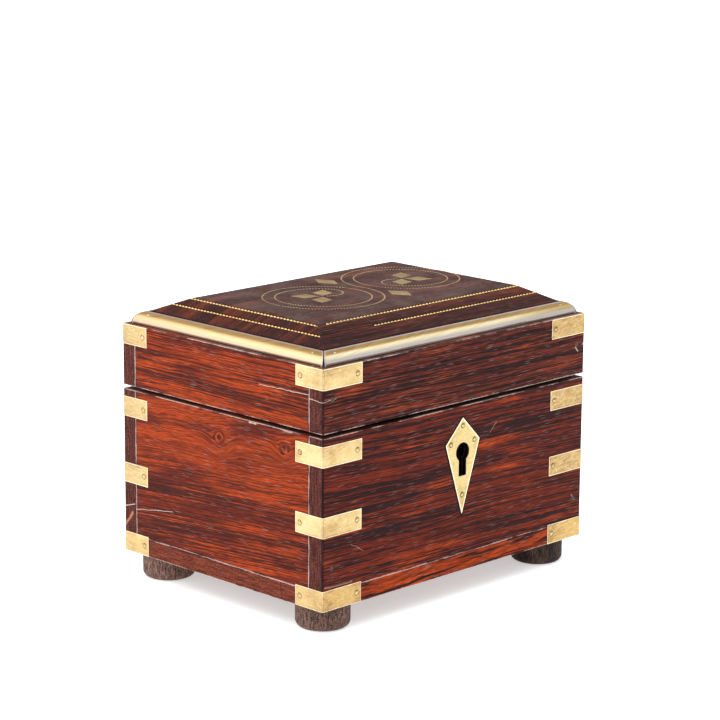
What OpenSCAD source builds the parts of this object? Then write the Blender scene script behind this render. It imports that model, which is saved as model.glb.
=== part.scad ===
// Brass-bound hardwood tea caddy with a hinged, bevelled lid, a mortised box lock and wire inlay.
// Frame: millimetres, +Z up, the keyhole faces -Y, origin on the floor under the box's centre.

/* [Box] */
// Width of the box across the keyhole face
box_w = 200; // [170:1:240]
// Depth of the box from front to back
box_d = 153; // [140:1:190]
// Height of the box body, from the underside of its bottom board to its rim
body_h = 90.2; // [86:0.1:110]
// Thickness of the upright boards
board_t = 10; // [9:0.5:13]
// Thickness of the bottom board, whose edges show below the sides
bottom_t = 9.8; // [6:0.1:10.5]
// Rounding of the upright outer edges
edge_r = 1; // [0.5:0.1:1.5]

/* [Lid] */
// Shadow gap between rim and lid, filled by the hinge leaves and the lock plates
lid_gap = 2.2; // [1.6:0.1:3]
// Height of the lid's frame of boards
skirt_h = 33.4; // [28:0.1:40]
// Depth to which the top panel drops between the lid's boards
plug_h = 8; // [5:0.5:12]
// Height of the bevelled band above the moulding
bevel_h = 8.6; // [6:0.1:12]
// Distance from the box's end faces to the flat of the lid
flat_inset_x = 24.6; // [18:0.1:32]
// Distance from the box's front and back faces to the flat of the lid
flat_inset_y = 30; // [22:0.1:36]

/* [Moulding] */
// Radius of the quarter-round brass moulding
moulding_r = 6.5; // [5:0.1:8]
// Ledge of wood left outside the moulding
moulding_inset = 3.2; // [2:0.1:5]
// Open joint between two mitred lengths
mitre_gap = 0.5; // [0.2:0.1:1]

/* [Corner straps] */
// Height of one strap
strap_h = 10.9; // [9:0.1:13]
// Length of a strap's arm on the front and back faces
strap_arm_x = 27.4; // [20:0.1:34]
// Length of a strap's arm on the end faces
strap_arm_y = 19.6; // [14:0.1:26]
// Thickness of the strap brass
strap_t = 1.2; // [0.8:0.1:1.6]
// How far the brass stands proud of the wood
proud = 0.2; // [0.1:0.05:0.4]
// Distance from the end of an arm to its pin
strap_pin_inset = 3.2; // [2.5:0.1:5]
// Radius of the brass pins
pin_r = 1.2; // [0.8:0.1:1.5]

/* [Feet] */
// Height of the turned feet
foot_h = 14; // [10:0.5:20]
// Radius of the feet
foot_r = 14.3; // [11:0.1:16]
// Rounding of the feet's lower edge
foot_round = 3.5; // [2:0.5:5]
// Distance from a foot's side to the box's faces
foot_inset = 2.6; // [1:0.1:6]

/* [Escutcheon and lock] */
// Offset of the escutcheon and lock from the middle of the front
lock_x = 2.6; // [-6:0.1:6]
// Width of the kite-shaped escutcheon
kite_w = 26; // [22:0.5:32]
// Height from the kite's top to its widest line
kite_up = 13.3; // [11:0.1:16]
// Height from the kite's widest line to its lower tip
kite_down = 39.2; // [34:0.1:44]
// Height of the kite's widest line above the underside of the box
kite_z = 70.6; // [66:0.1:72]
// Radius of the keyhole's round part
key_r = 5.1; // [4:0.1:6]
// Width of the keyhole's slot
key_slot_w = 5.8; // [4.2:0.1:7]
// Distance from the centre of the round part down to the end of the slot
key_slot_drop = 13; // [11:0.1:15]
// Throw of the lock's bolt
bolt_throw = 9; // [6:0.5:10]

/* [Wire inlay] */
// Radius of the twisted border wire
wire_r = 0.65; // [0.5:0.05:0.8]
// Place of the lower border line on the bevel, from 0 at the moulding to 1 at the flat
outer_line_at = 0.53; // [0.35:0.01:0.7]
// Place of the upper border line on the bevel
inner_line_at = 0.92; // [0.85:0.01:0.94]
// Width of the scroll's brass line
scroll_line_w = 1.1; // [0.8:0.1:1.5]
// Radius of the outermost half turns of the double spiral
scroll_r = 33.2; // [26:0.1:33.5]
// Distance between neighbouring turns
scroll_pitch = 6.7; // [5:0.1:8]
// Sideways offset of the scroll on the lid
scroll_x = 8.2; // [-8:0.1:8.2]
// Offset of the scroll towards the back
scroll_y = 3.6; // [-4:0.1:4]
// Turn of the scroll on the lid
scroll_turn = 4.6; // [-5:0.1:5]
// Length of an inlaid diamond
diamond_l = 16; // [12:0.5:17]
// Width of an inlaid diamond
diamond_w = 11; // [8:0.5:12]

/* [Hinges] */
// Length of a hinge along the back
hinge_l = 36; // [28:1:44]
// Distance from the middle of the box to the middle of a hinge
hinge_x = 62; // [50:1:68]
// Radius of the hinge knuckles
knuckle_r = 2.5; // [2.2:0.1:3]

/* [Hidden] */

$fn = 64;
eps = 0.01;              // overshoot of a cut past a face
slack = 0.05;            // radial room round a pin, nail or wire in its hole
wood_colour = "#6b2a1c";
end_wood_colour = "#a8401f";
dark_wood_colour = "#45211c";
foot_colour = "#5b4a42";
brass_colour = "#d9b566";
steel_colour = "#7d7a74";

// Levels above the floor
wall_z = foot_h + bottom_t;
rim_z = foot_h + body_h;
lid_z = rim_z + lid_gap;
frame_top_z = lid_z + skirt_h;
band_z = frame_top_z + moulding_r;
top_z = band_z + bevel_h;
pivot_z = rim_z + lid_gap / 2;
pivot_y = box_d / 2;     // the hinge line lies in the plane of the back

// Straps: depth let into the wood and the four heights at which they sit
strap_let_in = strap_t - proud;
strap_bottom_z = foot_h;
strap_middle_up = 38.6;
strap_rim_up = 75.3;
strap_middle_z = foot_h + strap_middle_up;
strap_rim_z = foot_h + strap_rim_up;
strap_lid_z = frame_top_z - strap_h;

// Top panel
panel_inset = moulding_inset + moulding_r;
inner_w = box_w - 2 * board_t;
inner_d = box_d - 2 * board_t;

// Spigots that plug the feet into the bottom board
foot_spigot_r = 5;
foot_spigot_h = 5;

// Pins, nails and screws
pin_l = 8;
pin_dome = 0.35;
nail_r = 1.3;
nail_l = 24;
nail_gap = 0.05;
nail_inset = 6.5;        // from the end faces
body_nail_zs = [foot_h + 22];
lid_nail_z = lid_z + 17;
moulding_nail_r = 0.7;
moulding_nail_in = 9;    // depth in the board
moulding_nail_at = 14;   // from the end of the face
moulding_nail_rise = 0.1;
moulding_nail_top = moulding_r * sqrt(3) / 2 + moulding_nail_rise; // the curve's height half way across
screw_r = 1;
screw_head_r = 2;
screw_head_h = 0.8;
screw_l = 8;
screw_slot_w = 0.5;
screw_slot_d = 0.4;

// Escutcheon and keyhole
kite_t = 1;
kite_floor_z = foot_h + kite_z;
key_below = 5.3;         // from the kite's widest line down to the keyhole's centre
key_z = kite_floor_z - key_below;
kite_pin_r = 1;
kite_pin_l = 2.5;
kite_pins = [[0, 9], [-9, 0], [9, 0], [0, -28.6]];

// Lock: the case fills a mortise cut from inside the front board
lock_w = 48;
lock_h = 44;
lock_depth = 7.5;
lock_wall = 1;
lock_plate_t = lid_gap / 2;
lock_plate_w = 58;
lock_screw_inset = 3;
lock_y = -box_d / 2 + board_t - lock_depth;
lock_mid_y = lock_y + lock_depth / 2;
lock_room = lock_depth - 2 * lock_wall;
staple_y = 4;
staple_x = 3;
staple_drop = 12;
staple_x_at = 12;
staple_plate_from = lock_x - lock_plate_w / 2 + 8;
staple_plate_to = lock_x + lock_plate_w / 2 - 1;
staple_screw_inset = 4;
eye_y = 2;
eye_h = 6;
staple_slot_room = 0.7;
bolt_y = 1.5;
bolt_h = 5.2;
bolt_body_l = 12;        // thick rear part of the bolt
bolt_drop = 4.5;         // depth of that part below the tongue, down to the key's sweep
bolt_tongue_l = bolt_throw + 1;
bolt_play = 0.1;
rail_t = 1;              // rail inside the case, under the bolt
rail_w = 1.2;
talon_r = 1.8;
bolt_z = rim_z - 6.8;
bolt_gap = 1;            // clearance between the drawn-back bolt and the staple
key_pin_r = 1.1;
key_pin_l = 4.6;
key_room = 0.3;          // the wood is cut a little wider than the brass

// Hinges
leaf_t = lid_gap / 2;
leaf_in = 6;             // width of a leaf inside its knuckles
knuckle_room = 0.3;      // the wood is cut clear of the knuckles
pivot_pin_r = 1;
pivot_slack = 0.05;
knuckles = 5;
knuckle_gap = 0.15;
knuckle_clear = 0.4;
hinge_screw_dx = 11;     // from the middle of a hinge
hinge_screw_y = pivot_y - knuckle_r - leaf_in / 2;

// Double spiral
curl_start = 25;
curl_r = 9.6;
curl_end = -133;
inlay_depth = 0.8;
inlay_proud = 0.05;
inlay_room = 0.08;
joint_gap = 0.4;         // open joint between two lengths of the scroll's line
petal_gap = 1.2;
lone_offset = [-3.4, 24.6];
lone_l = 18;
lone_w = 11.6;

LEFT = -1;
RIGHT = 1;
FRONT = -1;
BACK = 1;

// ---------- shared shapes ----------

// Box given by its lower and upper corners
module block(a, b) {
    translate(a) cube(b - a);
}

// Flat bar of brass bent round one upright corner, or the seat cut for it
module strap(sx, sy, z, cut = false) {
    out = cut ? 1 : proud;
    scale_x = sx > 0 ? [0, 0, 0] : [1, 0, 0];
    scale_y = sy > 0 ? [0, 0, 0] : [0, 1, 0];
    mirror(scale_x) mirror(scale_y) translate([box_w / 2, box_d / 2, z]) {
        block([-strap_arm_x, -strap_let_in, 0], [cut ? out : -strap_let_in, out, strap_h]);
        block([-strap_let_in, -strap_arm_y, 0], [out, cut ? out : -strap_let_in, strap_h]);
        if (!cut) translate([-strap_let_in, -strap_let_in, 0]) intersection() {
            cylinder(r = strap_t, h = strap_h);
            cube([strap_t, strap_t, strap_h]);
        }
    }
}

// The strap with holes for its two pins
module drilled_strap(sx, sy, z) {
    color(brass_colour) difference() {
        strap(sx, sy, z);
        strap_pin_holes(sx, sy, z);
    }
}

// Seats of all four straps at one height
module strap_seats(z) {
    for (sx = [LEFT, RIGHT], sy = [FRONT, BACK]) strap(sx, sy, z, cut = true);
}

// Places the children at a strap's two pin positions, pointing out of the wood along +Z
module at_strap_pins(sx, sy, z) {
    mid_z = z + strap_h / 2;
    translate([sx * (box_w / 2 - strap_arm_x + strap_pin_inset), sy * (box_d / 2 + proud), mid_z])
        rotate([sy > 0 ? -90 : 90, 0, 0]) children();
    translate([sx * (box_w / 2 + proud), sy * (box_d / 2 - strap_arm_y + strap_pin_inset), mid_z])
        rotate([0, sx * 90, 0]) children();
}

module strap_pin_holes(sx, sy, z) {
    at_strap_pins(sx, sy, z)
        translate([0, 0, -pin_l - slack]) cylinder(r = pin_r + slack, h = pin_l + 2);
}

// One pin, with a low domed head just above the brass
module brass_pin(r, l) {
    translate([0, 0, -l]) cylinder(r = r, h = l);
    intersection() {
        cylinder(r = r, h = pin_dome);
        translate([0, 0, pin_dome - 2 * r]) sphere(r = 2 * r);
    }
}

// All pins or pin holes at the given heights
module strap_pins(zs) {
    for (z = zs, sx = [LEFT, RIGHT], sy = [FRONT, BACK]) at_strap_pins(sx, sy, z) brass_pin(pin_r, pin_l);
}

module all_pin_holes(zs) {
    for (z = zs, sx = [LEFT, RIGHT], sy = [FRONT, BACK]) strap_pin_holes(sx, sy, z);
}

// Flat-headed screw pointing down, its head's top at the origin; room makes it a cutter
module screw(room = 0) {
    translate([0, 0, -screw_head_h - room]) cylinder(r = screw_head_r + room, h = screw_head_h + 2 * room);
    translate([0, 0, -screw_l - room]) cylinder(r = screw_r + room, h = screw_l - screw_head_h + room);
}

// A screw with a slot across its head
module slotted_screw() {
    difference() {
        screw();
        block([-screw_head_r - 1, -screw_slot_w / 2, -screw_slot_d], [screw_head_r + 1, screw_slot_w / 2, 1]);
    }
}

// Nails that hold the front and back boards to the end boards
module nails(zs, room = 0) {
    for (z = zs, sx = [LEFT, RIGHT], sy = [FRONT, BACK])
        translate([sx * (box_w / 2 - nail_inset), sy * box_d / 2, z])
            rotate([sy > 0 ? 90 : -90, 0, 0])
                translate([0, 0, room > 0 ? -1 : nail_gap])
                    cylinder(r = nail_r + room, h = nail_l + (room > 0 ? 1 + room : 0));
}

// Cutter that rounds off the box's four upright outer edges
module upright_edge_cut(z0, z1) {
    for (sx = [LEFT, RIGHT], sy = [FRONT, BACK])
        translate([sx * (box_w / 2 - edge_r), sy * (box_d / 2 - edge_r), z0 - 1]) difference() {
            translate([sx > 0 ? 0 : -edge_r - 1, sy > 0 ? 0 : -edge_r - 1, 0])
                cube([edge_r + 1, edge_r + 1, z1 - z0 + 2]);
            translate([0, 0, -1]) cylinder(r = edge_r, h = z1 - z0 + 4);
        }
}

// ---------- body boards ----------

module bottom_board() {
    color(end_wood_colour) difference() {
        block([-box_w / 2, -box_d / 2, foot_h], [box_w / 2, box_d / 2, wall_z]);
        strap_seats(strap_bottom_z);
        all_pin_holes([strap_bottom_z]);
        upright_edge_cut(foot_h, wall_z);
        at_feet() foot_spigot(slack);
    }
}

// Everything that is cut from the upright boards of the body
module body_wall_cuts() {
    for (z = [strap_bottom_z, strap_middle_z, strap_rim_z]) strap_seats(z);
    all_pin_holes([strap_bottom_z, strap_middle_z, strap_rim_z]);
    nails(body_nail_zs, slack);
    upright_edge_cut(wall_z, rim_z);
}

module long_wall(sy, z0, z1) {
    block([-box_w / 2, sy > 0 ? box_d / 2 - board_t : -box_d / 2, z0],
          [box_w / 2, sy > 0 ? box_d / 2 : -box_d / 2 + board_t, z1]);
}

module end_wall(sx, z0, z1) {
    block([sx > 0 ? box_w / 2 - board_t : -box_w / 2, -inner_d / 2, z0],
          [sx > 0 ? box_w / 2 : -box_w / 2 + board_t, inner_d / 2, z1]);
}

module front_board() {
    color(wood_colour) difference() {
        long_wall(FRONT, wall_z, rim_z);
        body_wall_cuts();
        kite(kite_t - proud, 1);
        at_kite_pins() kite_pin_hole();
        keyhole(key_room);
        lock_mortise();
        lock_plate_screw_holes();
    }
}

module back_board() {
    color(wood_colour) difference() {
        long_wall(BACK, wall_z, rim_z);
        body_wall_cuts();
        at_hinge_screws() translate([0, 0, leaf_t]) screw(slack);
        knuckle_seats();
    }
}

module left_end_board() {
    color(end_wood_colour) difference() {
        end_wall(LEFT, wall_z, rim_z);
        body_wall_cuts();
    }
}

module right_end_board() {
    color(end_wood_colour) difference() {
        end_wall(RIGHT, wall_z, rim_z);
        body_wall_cuts();
    }
}

// ---------- feet ----------

module at_foot(sx, sy) {
    translate([sx * (box_w / 2 - foot_inset - foot_r), sy * (box_d / 2 - foot_inset - foot_r), 0]) children();
}

module at_feet() {
    for (sx = [LEFT, RIGHT], sy = [FRONT, BACK]) at_foot(sx, sy) children();
}

// Spigot that plugs a foot into the bottom board
module foot_spigot(room = 0) {
    translate([0, 0, foot_h - eps]) cylinder(r = foot_spigot_r + room, h = foot_spigot_h + eps + room);
}

// Turned foot with a softened lower edge
module foot(sx, sy) {
    color(foot_colour) at_foot(sx, sy) union() {
        rotate_extrude() union() {
            square([foot_r - foot_round, foot_h]);
            translate([0, foot_round]) square([foot_r, foot_h - foot_round]);
            intersection() {
                translate([foot_r - foot_round, foot_round]) circle(r = foot_round);
                translate([foot_r - foot_round, 0]) square(foot_round);
            }
        }
        foot_spigot();
    }
}

module foot_front_left() { foot(LEFT, FRONT); }
module foot_front_right() { foot(RIGHT, FRONT); }
module foot_back_left() { foot(LEFT, BACK); }
module foot_back_right() { foot(RIGHT, BACK); }

// ---------- corner straps ----------

module strap_bottom_front_left() { drilled_strap(LEFT, FRONT, strap_bottom_z); }
module strap_bottom_front_right() { drilled_strap(RIGHT, FRONT, strap_bottom_z); }
module strap_bottom_back_left() { drilled_strap(LEFT, BACK, strap_bottom_z); }
module strap_bottom_back_right() { drilled_strap(RIGHT, BACK, strap_bottom_z); }
module strap_middle_front_left() { drilled_strap(LEFT, FRONT, strap_middle_z); }
module strap_middle_front_right() { drilled_strap(RIGHT, FRONT, strap_middle_z); }
module strap_middle_back_left() { drilled_strap(LEFT, BACK, strap_middle_z); }
module strap_middle_back_right() { drilled_strap(RIGHT, BACK, strap_middle_z); }
module strap_rim_front_left() { drilled_strap(LEFT, FRONT, strap_rim_z); }
module strap_rim_front_right() { drilled_strap(RIGHT, FRONT, strap_rim_z); }
module strap_rim_back_left() { drilled_strap(LEFT, BACK, strap_rim_z); }
module strap_rim_back_right() { drilled_strap(RIGHT, BACK, strap_rim_z); }
module strap_lid_front_left() { drilled_strap(LEFT, FRONT, strap_lid_z); }
module strap_lid_front_right() { drilled_strap(RIGHT, FRONT, strap_lid_z); }
module strap_lid_back_left() { drilled_strap(LEFT, BACK, strap_lid_z); }
module strap_lid_back_right() { drilled_strap(RIGHT, BACK, strap_lid_z); }

module body_strap_pins() {
    color(brass_colour) strap_pins([strap_bottom_z, strap_middle_z, strap_rim_z]);
}

module lid_strap_pins() {
    color(brass_colour) strap_pins([strap_lid_z]);
}

module body_nails() {
    color(steel_colour) nails(body_nail_zs);
}

module lid_nails() {
    color(steel_colour) nails([lid_nail_z]);
}

// ---------- escutcheon ----------

// Kite-shaped plate from its let-in depth to the given height above the wood
module kite(depth, rise) {
    translate([lock_x, -box_d / 2 + depth, kite_floor_z]) rotate([90, 0, 0])
        linear_extrude(depth + rise)
            polygon([[0, kite_up], [-kite_w / 2, 0], [0, -kite_down], [kite_w / 2, 0]]);
}

// Keyhole through plate, board and lock case
module keyhole(room = 0) {
    translate([lock_x, -box_d / 2 + board_t - lock_wall - 1, key_z]) rotate([90, 0, 0]) {
        cylinder(r = key_r + room, h = board_t + 2);
        block([-key_slot_w / 2 - room, -key_slot_drop - room, 0], [key_slot_w / 2 + room, 0, board_t + 2]);
    }
}

module at_kite_pins() {
    for (p = kite_pins)
        translate([lock_x + p[0], -box_d / 2 - proud, kite_floor_z + p[1]]) rotate([90, 0, 0]) children();
}

module kite_pin_hole() {
    translate([0, 0, -kite_pin_l - slack / 2]) cylinder(r = kite_pin_r + slack, h = kite_pin_l + 1);
}

module escutcheon() {
    color(brass_colour) difference() {
        kite(kite_t - proud, proud);
        keyhole();
        at_kite_pins() kite_pin_hole();
    }
}

module escutcheon_pins() {
    color(brass_colour) at_kite_pins() brass_pin(kite_pin_r, kite_pin_l);
}

// ---------- lock ----------

module lock_mortise() {
    block([lock_x - lock_w / 2, lock_y, rim_z - lock_h],
          [lock_x + lock_w / 2, lock_y + lock_depth + 1, rim_z + 1]);
}

// Slot in the lock's top plate through which the staple drops
module staple_slot() {
    translate([lock_x + staple_x_at, lock_mid_y, 0])
        block([-staple_x / 2 - staple_slot_room, -staple_y / 2 - staple_slot_room, rim_z - lock_wall - 1],
              [staple_x / 2 + staple_slot_room, staple_y / 2 + staple_slot_room, rim_z + lock_plate_t + 1]);
}

module at_lock_screws() {
    reach = lock_plate_w / 2 - lock_screw_inset;
    for (s = [-1, 1]) translate([lock_x + s * reach, lock_mid_y, rim_z + lock_plate_t]) children();
}

module lock_plate_screw_holes() {
    at_lock_screws() screw(slack);
}

// Brass case open at the back, with the plate that lies on the rim and a rail that carries the bolt
module lock_case() {
    color(brass_colour) union() {
        lock_rail();
        difference() {
            union() {
                block([lock_x - lock_w / 2, lock_y, rim_z - lock_h],
                      [lock_x + lock_w / 2, lock_y + lock_depth - lock_wall, rim_z + lock_plate_t / 2]);
                block([lock_x - lock_plate_w / 2, lock_y, rim_z],
                      [lock_x + lock_plate_w / 2, lock_y + lock_depth, rim_z + lock_plate_t]);
            }
            block([lock_x - lock_w / 2 + lock_wall, lock_y + lock_wall, rim_z - lock_h + lock_wall],
                  [lock_x + lock_w / 2 - lock_wall, lock_y + lock_depth, rim_z - lock_wall]);
            keyhole();
            staple_slot();
            lock_plate_screw_holes();
        }
    }
}

module lock_rail() {
    rail_top = bolt_z - bolt_h / 2 - bolt_drop - bolt_play;
    block([lock_x - lock_w / 2 + lock_wall - eps, lock_y + lock_wall - eps, rail_top - rail_t],
          [lock_x + lock_w / 2 - lock_wall + eps, lock_y + lock_wall + rail_w, rail_top]);
}

// Plate that closes the case from inside the box, carrying the pin on which the key turns
module lock_cap() {
    color(brass_colour) union() {
        block([lock_x - lock_w / 2, lock_y + lock_depth - lock_wall, rim_z - lock_h],
              [lock_x + lock_w / 2, lock_y + lock_depth, rim_z]);
        translate([lock_x, lock_y + lock_depth - lock_wall + eps, key_z]) rotate([90, 0, 0])
            cylinder(r = key_pin_r, h = key_pin_l);
    }
}

module lock_screws() {
    color(steel_colour) at_lock_screws() slotted_screw();
}

// Sliding bolt: a thin tongue and a thick body, notched below where the key's bit catches it
module lock_bolt() {
    tip_x = lock_x + staple_x_at - staple_x / 2 - staple_slot_room - bolt_gap;
    body_x = tip_x - bolt_tongue_l;
    body_z = bolt_z - bolt_h / 2 - bolt_drop;
    half_y = lock_room / 2 - bolt_play;
    color(brass_colour) difference() {
        union() {
            block([body_x - 1, lock_mid_y - bolt_y / 2, bolt_z - bolt_h / 2],
                  [tip_x, lock_mid_y + bolt_y / 2, bolt_z + bolt_h / 2]);
            block([body_x - bolt_body_l, lock_mid_y - half_y, body_z],
                  [body_x, lock_mid_y + half_y, bolt_z + bolt_h / 2]);
        }
        translate([lock_x - bolt_throw / 2, lock_mid_y, body_z]) rotate([90, 0, 0])
            cylinder(r = talon_r, h = lock_depth, center = true);
    }
}

// Plate under the lid's edge with an eye that the bolt shoots through
module lock_staple() {
    color(brass_colour) difference() {
        union() {
            block([staple_plate_from, lock_y, rim_z + lock_plate_t],
                  [staple_plate_to, lock_y + lock_depth, lid_z]);
            translate([lock_x + staple_x_at, lock_mid_y, rim_z + lock_plate_t])
                block([-staple_x / 2, -staple_y / 2, -staple_drop], [staple_x / 2, staple_y / 2, eps]);
        }
        translate([lock_x + staple_x_at, lock_mid_y, bolt_z])
            block([-staple_x, -eye_y / 2, -eye_h / 2], [staple_x, eye_y / 2, eye_h / 2]);
        at_staple_screws() screw(slack);
    }
}

// Staple screws point up into the lid
module at_staple_screws() {
    for (x = [staple_plate_from + staple_screw_inset, staple_plate_to - staple_screw_inset])
        translate([x, lock_mid_y, rim_z + lock_plate_t]) mirror([0, 0, 1]) children();
}

module staple_screws() {
    color(steel_colour) at_staple_screws() slotted_screw();
}

// ---------- hinges ----------

// Places the children at each hinge's centre on the pivot line
module at_hinge(sx) {
    translate([sx * hinge_x, pivot_y, pivot_z]) children();
}

// Knuckles with the given parity, bored for the pin
module hinge_knuckles(parity) {
    step = hinge_l / knuckles;
    for (k = [parity:2:knuckles - 1])
        translate([-hinge_l / 2 + k * step + knuckle_gap, 0, 0]) rotate([0, 90, 0])
            cylinder(r = knuckle_r, h = step - 2 * knuckle_gap);
}

// Room cleared in one leaf for the other leaf's knuckles
module knuckle_clearance(parity) {
    step = hinge_l / knuckles;
    for (k = [parity:2:knuckles - 1])
        block([-hinge_l / 2 + k * step - knuckle_gap, -knuckle_r - knuckle_clear, -knuckle_r - 1],
              [-hinge_l / 2 + (k + 1) * step + knuckle_gap, knuckle_r + 1, knuckle_r + 1]);
}

// One leaf: up = 0 lies on the rim, up = 1 lies under the lid's edge
module hinge_leaf(sx, up) {
    color(brass_colour) difference() {
        at_hinge(sx) difference() {
            union() {
                block([-hinge_l / 2, -knuckle_r - leaf_in, up == 1 ? 0 : -leaf_t],
                      [hinge_l / 2, 0, up == 1 ? leaf_t : 0]);
                hinge_knuckles(up);
            }
            knuckle_clearance(1 - up);
            translate([-hinge_l / 2 - 1, 0, 0]) rotate([0, 90, 0])
                cylinder(r = pivot_pin_r + pivot_slack, h = hinge_l + 2);
        }
        if (up == 1) at_lid_hinge_screws() screw(slack);
        else at_hinge_screws() translate([0, 0, leaf_t]) screw(slack);
    }
}

// Round seats in the back boards for the knuckles
module knuckle_seats() {
    for (sx = [LEFT, RIGHT]) at_hinge(sx) translate([-hinge_l / 2 - knuckle_room, 0, 0]) rotate([0, 90, 0])
        cylinder(r = knuckle_r + knuckle_room, h = hinge_l + 2 * knuckle_room);
}

module at_hinge_screws() {
    for (sx = [LEFT, RIGHT], dx = [-hinge_screw_dx, hinge_screw_dx])
        translate([sx * hinge_x + dx, hinge_screw_y, rim_z]) children();
}

module at_lid_hinge_screws() {
    for (sx = [LEFT, RIGHT], dx = [-hinge_screw_dx, hinge_screw_dx])
        translate([sx * hinge_x + dx, hinge_screw_y, lid_z - leaf_t]) mirror([0, 0, 1]) children();
}

module hinge_body_leaf_left() { hinge_leaf(LEFT, 0); }
module hinge_body_leaf_right() { hinge_leaf(RIGHT, 0); }
module hinge_lid_leaf_left() { hinge_leaf(LEFT, 1); }
module hinge_lid_leaf_right() { hinge_leaf(RIGHT, 1); }

module hinge_pins() {
    color(steel_colour) for (sx = [LEFT, RIGHT])
        at_hinge(sx) translate([-hinge_l / 2, 0, 0]) rotate([0, 90, 0])
            cylinder(r = pivot_pin_r, h = hinge_l);
}

module hinge_body_screws() {
    color(steel_colour) at_hinge_screws() translate([0, 0, leaf_t]) slotted_screw();
}

module hinge_lid_screws() {
    color(steel_colour) at_lid_hinge_screws() slotted_screw();
}

// ---------- lid boards ----------

module lid_wall_cuts() {
    strap_seats(strap_lid_z);
    all_pin_holes([strap_lid_z]);
    nails([lid_nail_z], slack);
    upright_edge_cut(lid_z, frame_top_z);
    moulding_nail_shapes(slack);
}

module lid_front_board() {
    color(wood_colour) difference() {
        long_wall(FRONT, lid_z, frame_top_z);
        lid_wall_cuts();
        at_staple_screws() screw(slack);
    }
}

module lid_back_board() {
    color(wood_colour) difference() {
        long_wall(BACK, lid_z, frame_top_z);
        lid_wall_cuts();
        at_lid_hinge_screws() screw(slack);
        knuckle_seats();
    }
}

module lid_left_end() {
    color(end_wood_colour) difference() {
        end_wall(LEFT, lid_z, frame_top_z);
        lid_wall_cuts();
    }
}

module lid_right_end() {
    color(end_wood_colour) difference() {
        end_wall(RIGHT, lid_z, frame_top_z);
        lid_wall_cuts();
    }
}

// Profile of the top panel above the lid's boards, as seen along one axis
module panel_profile(half, flat_inset) {
    polygon([
        [-half + panel_inset, frame_top_z], [half - panel_inset, frame_top_z],
        [half - panel_inset, band_z], [half - flat_inset, top_z],
        [-half + flat_inset, top_z], [-half + panel_inset, band_z]
    ]);
}

// Bevelled panel whose lower part drops between the lid's boards
module lid_top_panel() {
    color(dark_wood_colour) difference() {
        union() {
            intersection() {
                translate([0, box_d / 2, 0]) rotate([90, 0, 0])
                    linear_extrude(box_d) panel_profile(box_w / 2, flat_inset_x);
                translate([-box_w / 2, 0, 0]) rotate([90, 0, 90])
                    linear_extrude(box_w) panel_profile(box_d / 2, flat_inset_y);
            }
            block([-inner_w / 2, -inner_d / 2, frame_top_z - plug_h],
                  [inner_w / 2, inner_d / 2, frame_top_z + eps]);
        }
        border_groove(outer_line_at);
        border_groove(inner_line_at);
        scroll(inlay_room);
        trefoils(inlay_room);
        lone_pair(inlay_room);
    }
}

// ---------- moulding ----------

// Quarter-round bar along X with its flat faces on z = 0 and y = 0, rounding towards -Y
module quarter_round(l) {
    translate([-l / 2, 0, 0]) rotate([90, 0, 90]) linear_extrude(l) intersection() {
        circle(r = moulding_r);
        translate([-moulding_r, 0]) square(moulding_r);
    }
}

// One mitred length for a face at the given distance, with the given half length of that face
module moulding(distance, half) {
    difference() {
        translate([0, -distance + panel_inset, frame_top_z]) quarter_round(2 * half);
        for (s = [-1, 1])
            translate([s * (half - panel_inset - mitre_gap / 2), -distance + panel_inset, frame_top_z - 1])
                linear_extrude(moulding_r + 2)
                    polygon([[0, 1], [0, 0], [s * 2 * panel_inset, -2 * panel_inset],
                             [s * 3 * panel_inset, 1]]);
    }
}

// The same length, drilled for its two nails
module drilled_moulding(distance, half) {
    color(brass_colour) difference() {
        moulding(distance, half);
        at_moulding_nails(distance, half) moulding_nail(slack);
    }
}

// Upright nail through the middle of the moulding into the board below
module moulding_nail(room = 0) {
    translate([0, 0, -moulding_nail_in])
        cylinder(r = moulding_nail_r + room, h = moulding_nail_in + moulding_r + 1);
}

module at_moulding_nails(distance, half) {
    for (s = [-1, 1])
        translate([s * (half - moulding_nail_at), -distance + panel_inset - moulding_r / 2, frame_top_z])
            children();
}

module moulding_front() { drilled_moulding(box_d / 2, box_w / 2); }
module moulding_back() { rotate([0, 0, 180]) drilled_moulding(box_d / 2, box_w / 2); }
module moulding_left() { rotate([0, 0, -90]) drilled_moulding(box_w / 2, box_d / 2); }
module moulding_right() { rotate([0, 0, 90]) drilled_moulding(box_w / 2, box_d / 2); }

// All eight nails, full length, as cutters or as bodies to be trimmed
module moulding_nail_shapes(room = 0) {
    for (a = [0, 180]) rotate([0, 0, a]) at_moulding_nails(box_d / 2, box_w / 2) moulding_nail(room);
    for (a = [-90, 90]) rotate([0, 0, a]) at_moulding_nails(box_w / 2, box_d / 2) moulding_nail(room);
}

module moulding_nails() {
    color(brass_colour) intersection() {
        moulding_nail_shapes();
        block([-box_w, -box_d, frame_top_z - moulding_nail_in],
              [box_w, box_d, frame_top_z + moulding_nail_top]);
    }
}

// ---------- inlay ----------

// Half sizes and height of a border line at a given place on the bevel
function line_hx(at) = box_w / 2 - panel_inset - at * (flat_inset_x - panel_inset);
function line_hy(at) = box_d / 2 - panel_inset - at * (flat_inset_y - panel_inset);
function line_z(at) = band_z + at * bevel_h;

// Rectangle of wire sunk to half its thickness into the bevel
module border_wire(at) {
    hx = line_hx(at);
    hy = line_hy(at);
    for (s = [-1, 1]) {
        translate([-hx, s * hy, line_z(at)]) rotate([0, 90, 0]) cylinder(r = wire_r, h = 2 * hx);
        translate([s * hx, -hy, line_z(at)]) rotate([-90, 0, 0]) cylinder(r = wire_r, h = 2 * hy);
        for (t = [-1, 1]) translate([s * hx, t * hy, line_z(at)]) sphere(r = wire_r);
    }
}

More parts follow.
